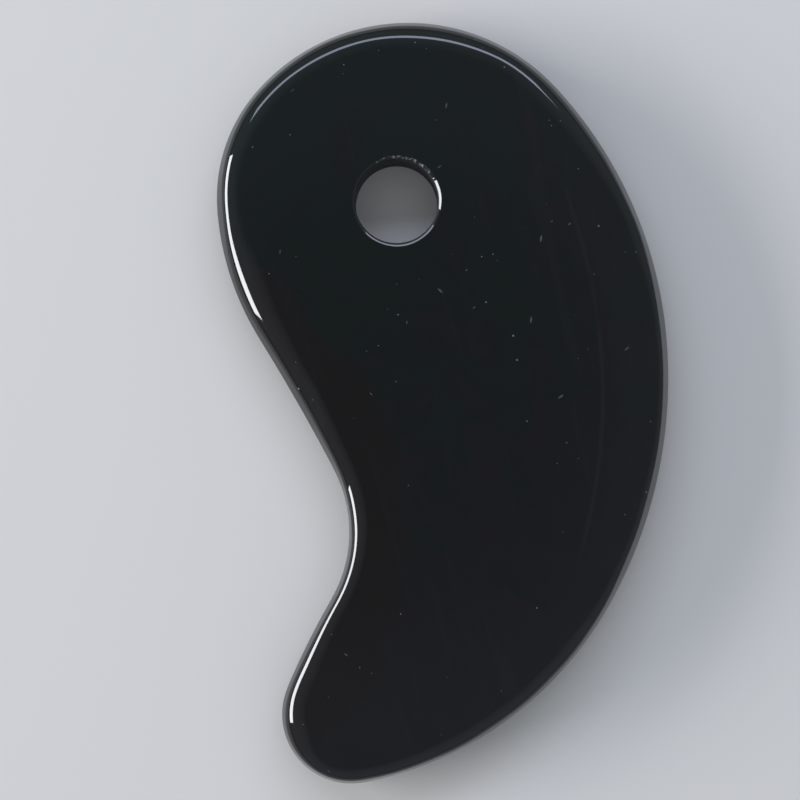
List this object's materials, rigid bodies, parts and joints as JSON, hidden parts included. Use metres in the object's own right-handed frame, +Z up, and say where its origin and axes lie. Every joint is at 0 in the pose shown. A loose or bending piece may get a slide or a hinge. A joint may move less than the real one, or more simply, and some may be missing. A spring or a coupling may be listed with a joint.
{
  "type": "gua sha scraper",
  "caption": "Comma-shaped gua sha massage board of polished black stone, with a broad round head, a narrow hooked tail and a round hole through the head.",
  "frame": {"origin": "under the middle of the board's bounding box, at the height of the surface that it lies on", "axes": "+Y runs along the board from the narrow tail to the broad head, +X points at the long convex back, and +Z points up out of the upper face"},
  "size_m": [0.0576, 0.1, 0.007],
  "materials": {
    "polished_stone": "polished"
  },
  "bodies": {
    "root": {"scraper_body": "polished_stone"}
  },
  "joints": []
}
